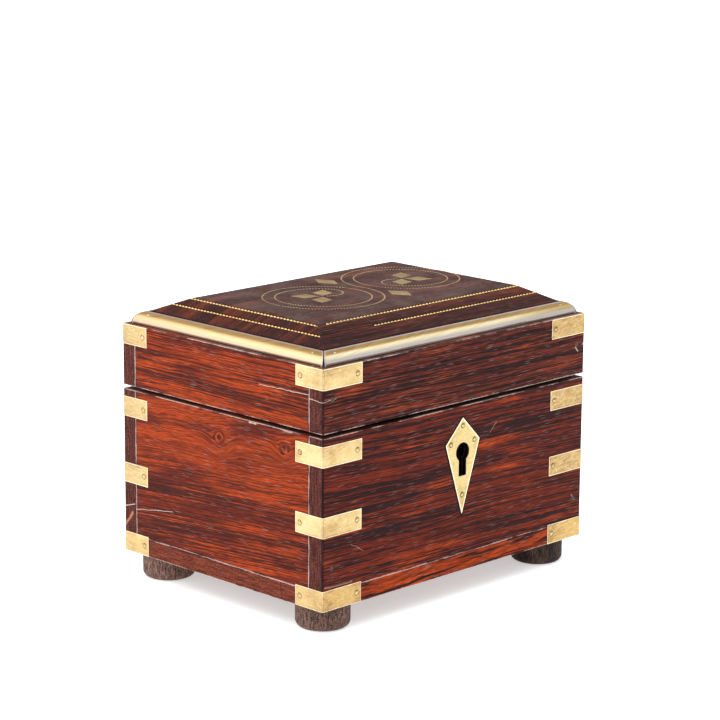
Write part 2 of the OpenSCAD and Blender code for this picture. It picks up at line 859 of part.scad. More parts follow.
// Square groove in which that wire lies
module border_groove(at) {
    out = wire_r + slack;
    size = [line_hx(at), line_hy(at), out];
    translate([0, 0, line_z(at)]) difference() {
        block(-size - [out, out, 0], size + [out, out, 0]);
        block(-size + [out, out, -1], size - [out, out, -1]);
    }
}

// One length of the scroll's line, an arc about the given centre, a hair short at both ends
module scroll_arc(cx, cy, r, from, to, room) {
    w = scroll_line_w / 2 + room;
    trim = (joint_gap / 2 - room) / r * 180 / PI;
    translate([cx, cy, top_z - inlay_depth - (room > 0 ? slack : 0)]) rotate([0, 0, to + trim])
        rotate_extrude(angle = from - to - 2 * trim)
            translate([r - w, 0]) square([2 * w, inlay_depth + (room > 0 ? 1 : inlay_proud)]);
}

// Half of the double spiral: half turns that tighten towards the trefoil, then a curl
module half_scroll(room) {
    step = scroll_pitch / 2;
    for (k = [0:3]) {
        odd = k % 2;
        scroll_arc(-scroll_r - odd * step, 0, scroll_r - k * step,
                   odd == 1 ? 180 : 0, odd == 0 ? -180 : (k == 3 ? curl_start : 0), room);
    }
    last_r = scroll_r - 3 * step;
    reach = last_r - curl_r;
    scroll_arc(-scroll_r - step + reach * cos(curl_start), reach * sin(curl_start), curl_r,
               curl_start, curl_end, room);
}

module at_scroll() {
    translate([scroll_x, scroll_y, 0]) children();
}

module scroll(room = 0) {
    at_scroll() rotate([0, 0, scroll_turn]) for (a = [0, 180]) rotate([0, 0, a]) half_scroll(room);
}

// Flat diamond from its near point, lying along +X
module diamond(l, w, room) {
    translate([0, 0, top_z - inlay_depth - (room > 0 ? slack : 0)])
        linear_extrude(inlay_depth + (room > 0 ? 1 : inlay_proud))
            polygon([[-room * l / w, 0], [l / 2, -w / 2 - room],
                     [l + room * l / w, 0], [l / 2, w / 2 + room]]);
}

// Three diamonds at each spiral's eye, leaving free the quarter where the line comes in
module trefoils(room = 0) {
    at_scroll() for (half_turn = [0, 180]) rotate([0, 0, half_turn])
        translate([-scroll_r * cos(scroll_turn), -scroll_r * sin(scroll_turn), 0])
            for (a = [45, 135, 225]) rotate([0, 0, a]) translate([petal_gap, 0, 0])
                diamond(diamond_l, diamond_w, room);
}

// One diamond in each cusp of the double spiral
module lone_pair(room = 0) {
    at_scroll() for (s = [-1, 1])
        translate([s * lone_offset[0], s * lone_offset[1] - lone_l / 2, 0]) rotate([0, 0, 90])
            diamond(lone_l, lone_w, room);
}

module border_wire_lower() { color(brass_colour) border_wire(outer_line_at); }
module border_wire_upper() { color(brass_colour) border_wire(inner_line_at); }
module scroll_line() { color(brass_colour) scroll(); }
module trefoil_diamonds() { color(brass_colour) trefoils(); }
module lone_diamonds() { color(brass_colour) lone_pair(); }

bottom_board();
front_board();
back_board();
left_end_board();
right_end_board();
foot_front_left();
foot_front_right();
foot_back_left();
foot_back_right();
strap_bottom_front_left();
strap_bottom_front_right();
strap_bottom_back_left();
strap_bottom_back_right();
strap_middle_front_left();
strap_middle_front_right();
strap_middle_back_left();
strap_middle_back_right();
strap_rim_front_left();
strap_rim_front_right();
strap_rim_back_left();
strap_rim_back_right();
body_strap_pins();
body_nails();
escutcheon();
escutcheon_pins();
lock_case();
lock_cap();
lock_screws();
lock_bolt();
hinge_body_leaf_left();
hinge_body_leaf_right();
hinge_pins();
hinge_body_screws();
lid_front_board();
lid_back_board();
lid_left_end();
lid_right_end();
lid_top_panel();
strap_lid_front_left();
strap_lid_front_right();
strap_lid_back_left();
strap_lid_back_right();
lid_strap_pins();
lid_nails();
moulding_front();
moulding_back();
moulding_left();
moulding_right();
moulding_nails();
border_wire_lower();
border_wire_upper();
scroll_line();
trefoil_diamonds();
lone_diamonds();
lock_staple();
staple_screws();
hinge_lid_leaf_left();
hinge_lid_leaf_right();
hinge_lid_screws();
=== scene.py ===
"""Looks of the brass-bound rosewood tea caddy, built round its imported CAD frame.

Lengths in the materials and in the mesh code are millimetres; finished objects are in metres.
"""

import math

import bpy
import numpy as np
from mathutils import Matrix, Vector


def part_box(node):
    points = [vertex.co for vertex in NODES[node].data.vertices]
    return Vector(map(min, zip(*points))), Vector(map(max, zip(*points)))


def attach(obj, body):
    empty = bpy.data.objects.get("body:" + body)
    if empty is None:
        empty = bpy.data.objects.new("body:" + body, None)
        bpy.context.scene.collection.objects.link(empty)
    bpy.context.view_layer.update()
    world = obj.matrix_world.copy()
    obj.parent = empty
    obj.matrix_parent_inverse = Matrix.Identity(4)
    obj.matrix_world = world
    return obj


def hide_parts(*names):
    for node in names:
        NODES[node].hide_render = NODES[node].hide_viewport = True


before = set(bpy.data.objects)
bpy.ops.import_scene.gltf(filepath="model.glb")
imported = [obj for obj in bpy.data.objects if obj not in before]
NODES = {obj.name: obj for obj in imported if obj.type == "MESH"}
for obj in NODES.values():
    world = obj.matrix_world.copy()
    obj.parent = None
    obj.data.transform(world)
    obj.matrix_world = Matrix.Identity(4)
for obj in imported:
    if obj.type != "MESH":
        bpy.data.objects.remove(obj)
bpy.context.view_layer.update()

MM = 0.001
BOX_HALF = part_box("bottom_board")[1] / MM
WALL = (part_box("front_board")[1].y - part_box("front_board")[0].y) / MM


def corners(node):
    """Lowest and highest corner of a CAD node, in millimetres."""
    low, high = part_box(node)
    return low / MM, high / MM


# ---------------------------------------------------------------- camera

CAMERA_AZIMUTH = math.radians(-45.29)
CAMERA_ELEVATION = math.radians(12.86)
CAMERA_ROLL = math.radians(0.42)
CAMERA_DISTANCE = 1.4669  # from the point aimed at
AIM_RIGHT, AIM_UP = 0.0028, 0.09986  # of that point, from the middle of the box's underside
LENS, SENSOR = 133.43, 36.0
CLIP_START, CLIP_END = 0.05, 50


def make_camera():
    """A long lens at the photograph's angle, aimed at the upper half of the box."""
    a, e, roll = CAMERA_AZIMUTH, CAMERA_ELEVATION, CAMERA_ROLL
    back = Vector((math.sin(a) * math.cos(e), -math.cos(a) * math.cos(e), math.sin(e)))
    level = Vector((math.cos(a), math.sin(a), 0))
    rise = back.cross(level)
    right = level * math.cos(roll) + rise * math.sin(roll)
    up = rise * math.cos(roll) - level * math.sin(roll)
    underside = Vector((0, 0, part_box("bottom_board")[0].z))
    place = underside + right * AIM_RIGHT + up * AIM_UP + back * CAMERA_DISTANCE
    data = bpy.data.cameras.new("camera")
    data.lens, data.sensor_width = LENS, SENSOR
    data.clip_start, data.clip_end = CLIP_START, CLIP_END
    camera = bpy.data.objects.new("camera", data)
    camera.matrix_world = Matrix.Translation(place) @ Matrix((right, up, back)).transposed().to_4x4()
    bpy.context.scene.collection.objects.link(camera)
    bpy.context.scene.camera = camera


# ---------------------------------------------------------------- materials
#
# A factor on a coordinate in noise or cells is how often the pattern repeats in a millimetre. The two
# numbers of a rise are the thresholds between which a pattern turns from absent to full.


class Num:
    """A number that varies over a surface. Arithmetic on it adds Math nodes to its material."""

    def __init__(self, tree, socket):
        self.tree, self.socket = tree, socket

    def do(self, operation, *values):
        node = self.tree.nodes.new("ShaderNodeMath")
        node.operation = operation
        for socket, value in zip(node.inputs, values or (self,)):
            feed(self.tree, socket, value)
        return Num(self.tree, node.outputs[0])

    def __add__(self, other):
        return self.do("ADD", self, other)

    def __sub__(self, other):
        return self.do("SUBTRACT", self, other)

    def __rsub__(self, other):
        return self.do("SUBTRACT", other, self)

    def __mul__(self, other):
        return self.do("MULTIPLY", self, other)

    def __truediv__(self, other):
        return self.do("DIVIDE", self, other)

    def __pow__(self, other):
        return self.do("POWER", self, other)

    def __abs__(self):
        return self.do("ABSOLUTE")

    __radd__, __rmul__ = __add__, __mul__

    def least(self, other):
        return self.do("MINIMUM", self, other)

    def most(self, other):
        return self.do("MAXIMUM", self, other)

    def rise(self, low, high):
        """0 below low and 1 above high, smooth between; it falls instead where low is above high."""
        node = self.tree.nodes.new("ShaderNodeMapRange")
        node.interpolation_type = "SMOOTHSTEP"
        feed(self.tree, node.inputs["Value"], self)
        ends = (low, high, 0, 1) if low < high else (high, low, 1, 0)
        for name, value in zip(("From Min", "From Max", "To Min", "To Max"), ends):
            node.inputs[name].default_value = value
        return Num(self.tree, node.outputs["Result"])


def feed(tree, socket, value):
    """Links a varying value to a socket, or sets a constant on it."""
    if isinstance(value, Num):
        value = value.socket
    if isinstance(value, bpy.types.NodeSocket):
        tree.links.new(value, socket)
    elif isinstance(value, (int, float)):
        socket.default_value = value
    else:
        socket.default_value = (*value, 1)


class Paint:
    """A material being made. x, y, z are millimetres in the shared frame, and nx, ny, nz its normal."""

    def __init__(self, name, **sockets):
        self.material = bpy.data.materials.new(name)
        self.material.use_nodes = True
        self.tree = self.material.node_tree
        self.shader = self.tree.nodes["Principled BSDF"]
        coord = self.tree.nodes.new("ShaderNodeTexCoord")
        scale = self.tree.nodes.new("ShaderNodeVectorMath")
        scale.operation = "SCALE"
        scale.inputs["Scale"].default_value = 1 / MM
        self.tree.links.new(coord.outputs["Object"], scale.inputs[0])
        self.x, self.y, self.z = self.split(scale.outputs[0])
        self.nx, self.ny, self.nz = self.split(coord.outputs["Normal"])
        self.place = dict(x=self.x, y=self.y, z=self.z)
        self.normal = dict(x=self.nx, y=self.ny, z=self.nz)
        self.set(**sockets)

    def split(self, vector):
        node = self.tree.nodes.new("ShaderNodeSeparateXYZ")
        self.tree.links.new(vector, node.inputs[0])
        return [Num(self.tree, out) for out in node.outputs]

    def set(self, **sockets):
        for name, value in sockets.items():
            feed(self.tree, self.shader.inputs[name.replace("_", " ")], value)

    def vector(self, *parts):
        node = self.tree.nodes.new("ShaderNodeCombineXYZ")
        for socket, value in zip(node.inputs, parts):
            feed(self.tree, socket, value)
        return node.outputs[0]

    def noise(self, a, b, c=0.0, detail=3, rough=0.55):
        node = self.tree.nodes.new("ShaderNodeTexNoise")
        feed(self.tree, node.inputs["Vector"], self.vector(a, b, c))
        for name, value in (("Scale", 1), ("Detail", detail), ("Roughness", rough)):
            node.inputs[name].default_value = value
        return Num(self.tree, node.outputs[0])

    def cells(self, a, b, c=0.0):
        """Distance to the nearest of points scattered one to a cell, and a random number for the cell."""
        node = self.tree.nodes.new("ShaderNodeTexVoronoi")
        feed(self.tree, node.inputs["Vector"], self.vector(a, b, c))
        node.inputs["Scale"].default_value = 1
        return Num(self.tree, node.outputs["Distance"]), self.split(node.outputs["Color"])[0]

    def mix(self, amount, a, b, blend="MIX"):
        node = self.tree.nodes.new("ShaderNodeMix")
        node.data_type, node.blend_type = "RGBA", blend
        for index, value in ((0, amount), (6, a), (7, b)):
            feed(self.tree, node.inputs[index], value)
        return node.outputs[2]

    def shade(self, colour, amount):
        """The colour times a number."""
        return self.mix(1.0, colour, amount, "MULTIPLY")

    def bump(self, height, strength=1.0):
        """Height in millimetres."""
        node = self.tree.nodes.new("ShaderNodeBump")
        node.inputs["Strength"].default_value = strength
        node.inputs["Distance"].default_value = MM
        feed(self.tree, node.inputs["Height"], height)
        self.tree.links.new(node.outputs[0], self.shader.inputs["Normal"])

    def edge(self, node):
        """Distance to the nearest edge of the box round a CAD node."""
        spans = zip((self.x, self.y, self.z), *corners(node))
        a, b, c = ((place - low).least(high - place).most(0) for place, low, high in spans)
        return a.least(b).most(a.most(b).least(c))


# Colours are linear. A palette is the wood's dark streaks, its red and its orange.
DEEP = (0.015, 0.0075, 0.009)
PALETTE = (DEEP, (0.133, 0.0175, 0.0078), (0.32, 0.043, 0.0078))
END_PALETTE = ((0.043, 0.0100, 0.008), (0.118, 0.0155, 0.0075), (0.31, 0.040, 0.0075))
LID_FRONT_PALETTE = ((0.012, 0.006, 0.007), (0.110, 0.020, 0.012), (0.27, 0.046, 0.014))
TOP_PALETTE = ((0.014, 0.0055, 0.005), (0.048, 0.012, 0.009), (0.11, 0.023, 0.012))

# The two colours of the wood's end grain
END_GRAIN = ((0.028, 0.008, 0.007), (0.15, 0.042, 0.032))
BOTTOM_END_GRAIN = ((0.080, 0.017, 0.010), (0.23, 0.056, 0.032))
TOP_END_GRAIN = ((0.022, 0.007, 0.006), (0.09, 0.022, 0.014))
BARE_WOOD = ((0.050, 0.022, 0.016), (0.16, 0.085, 0.065))

# the second is worn pale wood and also a painted highlight along edges
PORE, WORN_AND_HIGHLIGHT, DUST = (0.36, 0.28, 0.28), (0.58, 0.45, 0.40), (0.26, 0.19, 0.17)
# near black, painted as the shade inside the keyhole
KEYHOLE_SHADE = (0.002, 0.001, 0.001)
WOOD_GLOSS = 0.04
EDGE_DARK = 0.9  # how near to both outer faces the line at an upright corner is painted dark, partly as shade
HOLLOW_MARGIN = 0.8  # how deep into a board, from its inner face, still counts as bare wood
KEYHOLE_REACH = 8.0  # from the keyhole's middle line, clear of every part of its edge
FACES = {"left": ("y", "z"), "front": ("x", "z")}


def gap_to(a, b, start, stop):
    """Distance from the point a, b to a straight line between two places."""
    step_a, step_b = stop[0] - start[0], stop[1] - start[1]
    off_a, off_b = a - start[0], b - start[1]
    along = ((off_a * step_a + off_b * step_b) / (step_a**2 + step_b**2)).most(0).least(1)
    gap_a, gap_b = off_a - along * step_a, off_b - along * step_b
    return (gap_a * gap_a + gap_b * gap_b) ** 0.5


def scratch(s, face, start, stop, width, ragged):
    """A ragged line on one side of the box, from start to stop. Its width also picks how it wanders."""
    a, b = (s.place[axis] for axis in FACES[face])
    facing = (s.nx if face == "left" else s.ny).rise(-0.6, -0.9)
    wave = s.noise(a * 0.35, b * 0.35, width, 2) - 0.5
    return gap_to(a, b + wave * ragged, start, stop).rise(width, width * 0.4) * facing


def rosewood(
    node, axes, seed, bright=0.5, black=0.5, slope=0.0, wild=1.0, close=1.0, knots=(), flame=None,
    palette=PALETTE, cut=END_GRAIN, pores=0.5, dust=0.5, polish=1.0, marks=(), hole=None, hollow=True,
):
    """Rosewood of one board. axes names the way along its grain, the way across it and its depth.

    bright and black are how much orange and how many dark streaks it has. slope tilts the figure, wild
    makes it wander and close packs it. knots are place along, place across and size. flame is the range
    across the board over which the figure turns wild and bright. cut is the colours of its end grain.
    pores, dust and polish are how plainly each shows. marks are side, start, stop, width, raggedness and
    colour of scratches, fillings, painted shadow lines and painted highlights. hole is the top and bottom of
    the keyhole, whose bore is painted near black as shade. hollow says that the board lines the hollow of
    the box; one that does not is the panel inside the moulding, painted dark as shade along its edge there.
    """
    s = Paint("rosewood_" + node, **{"Specular IOR Level": WOOD_GLOSS})
    along, across, depth = (s.place[axis] for axis in axes)
    end = abs(s.normal[axes[0]]).rise(0.75, 0.9)

    drift = s.noise(along * 0.006, across * 0.02, depth * 0.02 + seed, 2) - 0.5
    ripple = s.noise(along * 0.035, across * 0.09, depth * 0.09 - seed, 3) - 0.5
    fire = across.rise(*flame) if flame else 0.0
    ring = across + depth * 0.45 + drift * (9 * wild) + ripple * (fire * 5 + 1.3 * wild) + along * slope
    glow, core = fire * 0.12, 0.0
    for knot_along, knot_across, size in knots:
        off_along, off_across = (along - knot_along) * 0.9, across - knot_across
        squares = off_along * off_along + off_across * off_across
        near = (squares * (-1 / size**2)).do("EXPONENT")
        ring = ring + (squares**0.5 * 0.8 - off_across * 0.9) * near
        glow = near * 0.16 + glow
        core = near.rise(0.93, 0.98) + near.rise(0.66, 0.74) * near.rise(0.90, 0.80) * 0.6 + core

    bands = s.noise(along * 0.003, ring * 0.12, seed, 3)
    streaks = s.noise(along * 0.009, ring * (0.78 * close), seed + 7, 4, 0.6)
    lines = s.noise(along * 0.045, ring * (1.7 * close), seed + 9, 3)
    fibres = s.noise(along * 0.15, ring * 2.1, depth * 0.8 + seed, 3)
    tone = s.noise(along * 0.016, ring * 0.09, seed + 13, 3)
    figure = bands * 0.26 + streaks * 0.46 + lines * 0.28
    dark = figure.rise(0.545 - 0.12 * black, 0.60 - 0.12 * black)
    light = (tone + glow + streaks * -0.35 + (bright - 0.325)).rise(0.38, 0.62)
    deep, red, orange = palette
    wood = s.mix(light, red, orange)
    wood = s.shade(wood, (lines - 0.5) * -1.6 + 1.0)
    wood = s.mix(dark * (0.92 - 0.45 * fire), wood, deep)
    wood = s.mix(core * 0.8, wood, DEEP) if knots else wood
    wood = s.shade(wood, fibres * 2.4 - 0.2)

    dash, chance = s.cells(along * 0.07, across * 1.9 + ripple * 2, depth * 1.2 + seed)
    crowd = s.noise(along * 0.015, across * 0.04, seed + 3, 2)
    open_pore = dash.rise(0.24, 0.10) * (chance + crowd * 0.9).rise(0.66, 0.84)
    wood = s.mix(open_pore * pores, wood, PORE)

    mottle = s.noise(across * 0.9, depth * 0.9, along * 0.02 + seed, 5, 0.7)
    growth = s.noise(across * 0.10, depth * 1.5 + mottle, seed, 3)
    speck = s.noise(across * 2.6, depth * 2.6, seed, 2)
    face = s.mix((mottle * 0.5 + growth * 0.5).rise(0.40, 0.62), *cut)
    face = s.shade(face, speck * 2.6 - 0.3)
    wood = s.mix(end, wood, face)

    rim = s.edge(node)
    frayed = s.noise(s.x * 0.5, s.y * 0.5, s.z * 0.5 + seed, 4, 0.7)
    patchy = s.noise(s.x * 0.06, s.y * 0.06, s.z * 0.06 - seed, 3)
    settled = s.nz.rise(0.93, 0.995) * (frayed * 0.5 + patchy * 0.5).rise(0.40, 0.60)
    wood = s.mix(settled * dust, wood, DUST)
    # dark dirt near a board's edges, partly painted shade where parts meet, as under the moulding
    grime_and_shade = (rim + (frayed - 0.5) * 2.0).rise(1.5, 0.5) * patchy.rise(0.56, 0.44)
    wood = s.mix(grime_and_shade * 0.6, wood, DEEP)
    # edges worn pale, partly a painted highlight along the rounded edges
    worn = (rim + (frayed - 0.5) * 1.1).rise(0.45, 0.2) * patchy.rise(0.38, 0.54)
    wood = s.mix(worn * 0.7, wood, WORN_AND_HIGHLIGHT)
    # the line where boards meet at an upright corner, painted dark, partly as shade along that edge
    edge_x, edge_y = BOX_HALF.x - EDGE_DARK, BOX_HALF.y - EDGE_DARK
    joint_and_shade = (abs(s.x) - edge_x).least(abs(s.y) - edge_y).rise(0.0, 0.3)
    wood = s.mix(joint_and_shade * 0.9, wood, DEEP)
    if hole:
        # painted shade: the bore of the keyhole painted near black
        inside = (s.y + BOX_HALF.y).rise(0.4, 1.2) * (-1 * s.y - BOX_HALF.y + WALL).rise(0.2, 0.6)
        near = gap_to(s.x, s.z, *hole).rise(KEYHOLE_REACH + 1, KEYHOLE_REACH)
        wood = s.mix(inside * near, wood, KEYHOLE_SHADE)
    for side, start, stop, width, ragged, colour in marks:
        wood = s.mix(scratch(s, side, start, stop, width, ragged) * 0.85, wood, colour)
    raw = (-1 * s.nz).rise(0.5, 0.9)
    if hollow:
        room = [size - WALL + HOLLOW_MARGIN - abs(at) for size, at in ((BOX_HALF.x, s.x), (BOX_HALF.y, s.y))]
        raw = raw.most(room[0].least(room[1]).rise(0.0, 0.4))
    else:
        half = corners(node)[1]
        # painted shade: the panel darkened along its edge, where the moulding meets it
        border = (half.x - abs(s.x)).least(half.y - abs(s.y)) + (frayed - 0.5) * 1.5
        wood = s.mix(border.rise(1.2, 0.5) * 0.9, wood, DEEP)
    bare = s.shade(s.mix(frayed, *BARE_WOOD), streaks * 1.3 + 0.3)
    wood = s.mix(raw * 0.72, wood, bare)

    haze = s.noise(s.x * 0.035, s.y * 0.035, s.z * 0.035 + seed, 4)
    dull = haze * 0.3 + open_pore * 0.3 + end * 0.15 + worn * 0.25 + settled * 0.3 + raw * 0.3
    s.set(**{"Base Color": wood, "Roughness": dull + (0.55 - 0.3 * polish)})
    height = fibres * 0.04 + streaks * 0.05 - open_pore * 0.06 - worn * 0.04
    s.bump(height + end * speck * 0.05 + haze * 0.25)
    return s.material


BRASS, BRASS_DEEP, BRASS_PALE = (0.60, 0.43, 0.195), (0.45, 0.28, 0.105), (0.78, 0.63, 0.36)
# the last is brass worn bright and also a painted highlight on edges
TARNISH, PIT, RUBBED_AND_HIGHLIGHT = (0.26, 0.13, 0.055), (0.05, 0.025, 0.012), (0.90, 0.79, 0.56)
SMOOTHEST, ROUGHEST = 0.18, 0.8
PIN_RING = 1.3  # radius of the dark line round a pin

# The tint of each kind of brass, and the deeper one that it clouds over to
STRAP_TINTS = (BRASS, BRASS_DEEP)
# painted shade: darker tints for the straps on the right and back sides, away from the light
SHADED_STRAP_TINTS = ((0.42, 0.26, 0.095), (0.30, 0.165, 0.052))
BOTTOM_STRAP_TINTS = ((0.52, 0.315, 0.10), (0.37, 0.20, 0.055))
KITE_TINTS = ((0.54, 0.40, 0.17), (0.44, 0.30, 0.11))
WIRE_TINTS = ((0.78, 0.53, 0.20), (0.62, 0.39, 0.13))
SCROLL_TINTS = ((0.80, 0.56, 0.24), (0.52, 0.33, 0.13))
DIAMOND_TINTS = ((0.42, 0.255, 0.07), (0.30, 0.17, 0.04))
NAIL_TINTS = ((0.80, 0.70, 0.52), (0.62, 0.48, 0.30))
HINGE_TINTS = ((0.70, 0.48, 0.2), BRASS_DEEP)


def brass(name, seed, node=None, tarnish=0.5, rough=0.34, tints=STRAP_TINTS, pins=(), outline=()):
    """Old satin brass: patchy colour, fine scratches and dark pits, with edges worn bright and partly
    painted as a highlight if it has a node.

    pins are the places of pins as an axis, a place along it and a height. outline is the edge of a plate
    on the front, as the two ends of each straight piece, painted bright there as worn edge and highlight.
    """
    s = Paint("brass_" + name, Metallic=1.0)
    cloud = s.noise(s.x * 0.06, s.y * 0.06, s.z * 0.08 + seed, 4, 0.6)
    fine = s.noise(s.x * 0.7, s.y * 0.7, s.z * 0.7 - seed, 4, 0.65)
    lines = s.noise((s.x + s.y) * 0.16 + s.z * 0.1, s.z * 2.0 - (s.x + s.y) * 0.3, seed, 4, 0.7)
    cross = s.noise((s.x - s.y) * 2.4 + s.z * 0.8, s.z * 0.3, seed + 5, 4, 0.7)
    metal = s.mix(cloud.rise(0.38, 0.66), *tints)
    metal = s.mix((fine * 0.4 + lines * 0.6).rise(0.44, 0.60) * 0.45, metal, BRASS_PALE)
    stain = (cloud * 0.55 + fine * 0.45).rise(0.61 - 0.07 * tarnish, 0.70)
    metal = s.mix(stain * (0.3 + 0.5 * tarnish), metal, TARNISH)
    hole, chance = s.cells(s.x * 0.5, s.y * 0.5, s.z * 0.5 + seed)
    pit = (hole + fine * 0.4).rise(0.34, 0.24) * chance.rise(0.84 - 0.1 * tarnish, 0.88)
    metal = s.mix(pit * 0.8, metal, PIT)
    height = fine * 0.03 + lines * 0.03 + cross * 0.02 - pit * 0.06 + cloud * 0.5
    dull = (fine - 0.5) * 0.3 + (lines - 0.5) * 0.2 + stain * 0.18 + pit * 0.3 + rough
    if node:
        rim = s.edge(node)
        # edges worn bright, partly a painted highlight along them
        rubbed_and_highlight = (rim + (fine - 0.5) * 0.8).rise(0.55, 0.2)
        metal = s.mix(rubbed_and_highlight * 0.8, metal, RUBBED_AND_HIGHLIGHT)
        dirt = (rim + (fine - 0.5) * 1.6).rise(1.15, 0.55) * (1 - rubbed_and_highlight) * cloud.rise(0.42, 0.6)
        metal = s.mix(dirt * 0.6, metal, TARNISH)
        # painted light: faces turned to the left, towards the softbox, made paler
        metal = s.mix(s.nx.rise(-0.6, -0.9) * 0.2, metal, BRASS_PALE)
    for start, stop in outline:
        # plate outline painted bright, partly worn edge and partly painted highlight
        metal = s.mix(gap_to(s.x, s.z, start, stop).rise(0.8, 0.4) * 0.9, metal, RUBBED_AND_HIGHLIGHT)
    for axis, across, up in pins:
        a, b = s.place[axis] - across, s.z - up
        gap = abs((a * a + b * b) ** 0.5 - PIN_RING).rise(0.30, 0.12)
        metal = s.mix(gap * (fine + cloud * 0.6).least(1), metal, PIT)
        height = height - gap * 0.12
    s.set(**{"Base Color": metal, "Roughness": dull.least(ROUGHEST).most(SMOOTHEST)})
    s.bump(height)
    return s.material


# Colours of the brown metal, the duller painted highlight at its far right end and the darker foot;
# the pale layer with a painted floor reflection, the painted highlight band and the painted top-edge
# highlight, by side, as each side catches the light differently
MOULDING_BROWN = ((0.44, 0.26, 0.08), (0.33, 0.185, 0.05))
HIGHLIGHT_FAR_END = (0.46, 0.31, 0.11)
MOULDING_FOOT_DARK = (0.10, 0.05, 0.03)
LONG_MOULDING = ((0.78, 0.71, 0.69), (1.0, 0.90, 0.60), (0.56, 0.53, 0.53))
SHORT_MOULDING = ((0.60, 0.47, 0.33), (0.73, 0.55, 0.29), (0.58, 0.45, 0.39))


def moulding_brass(node, seed, film, highlight_band, arris_highlight):
    """Brass of the quarter-round moulding: from its foot up darker metal, a pale layer with a painted
    reflection of the floor, a painted highlight band and brown.

    The three colours given are the pale layer with its painted floor reflection, the painted highlight band,
    and the painted highlight of the top edge and beside the mitres.
    """
    low, high = corners(node)
    s = Paint("brass_" + node, Metallic=1.0)
    run = s.x + s.y
    cloud = s.noise(run * 0.03, s.z * 0.2, seed, 4)
    fine = s.noise(s.x * 0.8, s.y * 0.8, s.z * 0.8 + seed, 4, 0.7)
    drawn = s.noise(run * 0.04, s.z * 3.0 - (s.x - s.y) * 0.5, seed, 3)
    level = (s.z - low.z) / (high.z - low.z) + (cloud - 0.5) * 0.12 + (fine - 0.5) * 0.08
    metal = s.mix(drawn.rise(0.4, 0.6), *MOULDING_BROWN)
    # painted highlight band, made duller towards the right end as the light falls off there
    highlight_band = s.mix((s.x + (fine - 0.5) * 20).rise(30, 92) * 0.8, highlight_band, HIGHLIGHT_FAR_END)
    metal = s.mix(level.rise(0.86, 0.68), metal, s.mix(drawn.rise(0.35, 0.65) * 0.35, highlight_band, BRASS))
    # pale layer over the lower half, with a painted reflection of the floor
    metal = s.mix(level.rise(0.54, 0.42) * 0.85, metal, film)
    # painted highlight along the top edge
    metal = s.mix((s.z - high.z + (fine - 0.5) * 0.2).rise(-0.22, -0.10) * 0.9, metal, arris_highlight)
    metal = s.mix((fine * 0.6 + cloud * 0.4).rise(0.60, 0.70) * 0.5, metal, TARNISH)
    # darker towards its foot
    metal = s.mix(level.rise(0.24, 0.15) * 0.85, metal, MOULDING_FOOT_DARK)
    # painted shade in the crease at its very foot
    metal = s.mix((s.z - low.z).rise(0.7, 0.3) * 0.8, metal, PIT)
    mitre = abs(abs(s.x) - abs(s.y) - (BOX_HALF.x - BOX_HALF.y)) + (fine - 0.5) * 0.8 + level * 0.7
    # painted highlights beside each mitre, and painted shade in its gap
    metal = s.mix(mitre.rise(2.4, 1.5) * 0.6, metal, arris_highlight)
    metal = s.mix(mitre.rise(1.1, 0.8) * 0.95, metal, PIT)
    s.set(**{"Base Color": metal, "Roughness": fine * 0.25 + drawn * 0.12 + 0.14})
    s.bump(fine * 0.03 + drawn * 0.04 + cloud * 0.15)
    return s.material


def lock_metal():
    """Brown old brass, painted nearly black at its front edge as the shade in the gap under the lid."""
    s = Paint("brass_lock", **{"Specular IOR Level": 0.05})
    fine = s.noise(s.x * 0.7, s.y * 0.7, s.z * 0.7, 4, 0.65)
    filed = s.noise(s.x * 0.4, s.y * 4.0, s.z * 1.5, 3, 0.7)
    metal = s.mix((fine * 0.6 + filed * 0.4).rise(0.42, 0.60), (0.15, 0.095, 0.04), (0.36, 0.25, 0.11))
    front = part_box("lock_case")[0].y / MM
    # painted shade: near black and not metal where the front of the lock shows through the gap under the lid
    grime_and_shade = (s.y - front + (fine - 0.5) * 7).rise(6.0, 4.0)
    metal = s.mix(grime_and_shade, metal, (0.014, 0.009, 0.007))
    s.set(**{"Base Color": metal, "Metallic": 1 - grime_and_shade, "Roughness": fine * 0.3 + grime_and_shade * 0.3 + 0.3})
    s.bump(fine * 0.04 + filed * 0.03)
    return s.material


def foot_wood(node, seed, dust, depth):
    """Bare, dull, dusty turned wood, painted darker as shade the greater depth is."""
    s = Paint("bare_" + node, **{"Specular IOR Level": 0.2})
    broad = s.noise(s.x * 0.12, s.y * 0.12, s.z * 0.08 + seed, 4)
    strands = s.noise(s.x * 1.1, s.y * 1.1, s.z * 0.25 + seed, 4, 0.7)
    grit = s.noise(s.x * 1.7, s.y * 1.7, s.z * 1.7, 4, 0.75)
    wood = s.mix(strands.rise(0.36, 0.66), (0.030, 0.012, 0.008), (0.26, 0.135, 0.10))
    # painted shade: darker the greater depth is
    wood = s.shade(wood, broad * 1.2 + (0.45 - depth))
    wood = s.mix(grit.rise(0.54, 0.68) * dust, wood, (0.46, 0.36, 0.31))
    s.set(**{"Base Color": wood, "Roughness": grit * 0.3 + 0.55})
    s.bump(strands * 0.35 + grit * 0.25)
    return s.material


def iron(name, seed, colour, metallic):
    """Steel or iron with brown stains."""
    s = Paint("iron_" + name, Metallic=metallic)
    rust = s.noise(s.x * 0.8, s.y * 0.8, s.z * 0.8 + seed, 4, 0.7)
    grit = s.noise(s.x * 4, s.y * 4, s.z * 4 - seed, 3, 0.7)
    metal = s.mix(rust.rise(0.45, 0.62), colour, (0.075, 0.035, 0.02))
    s.set(**{"Base Color": s.shade(metal, grit * 0.9 + 0.55), "Roughness": rust * 0.4 + 0.25})
    s.bump(grit * 0.06 + rust * 0.08)
    return s.material


# ---------------------------------------------------------------- studio


